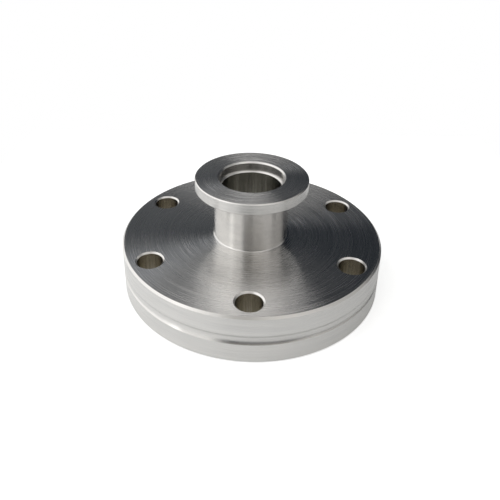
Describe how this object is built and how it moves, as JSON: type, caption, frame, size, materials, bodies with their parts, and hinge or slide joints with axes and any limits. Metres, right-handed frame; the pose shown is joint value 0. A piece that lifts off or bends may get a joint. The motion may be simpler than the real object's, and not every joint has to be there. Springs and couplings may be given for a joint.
{
  "type": "vacuum flange adapter",
  "caption": "Stainless steel vacuum flange adapter with a bolted knife-edge flange, a short bored neck and a small clamp flange.",
  "frame": {"origin": "centre of the bore at the sealing face of the knife-edge flange, which the adapter stands on", "axes": "+Z along the bore towards the clamp flange, -Y through the middle of a bolt hole, X through the two leak check grooves"},
  "size_m": [0.0698, 0.0698, 0.03],
  "materials": {
    "stainless_steel": "fine turned and faced, bare"
  },
  "bodies": {
    "root": {"flange_adapter": "stainless_steel"}
  },
  "joints": []
}
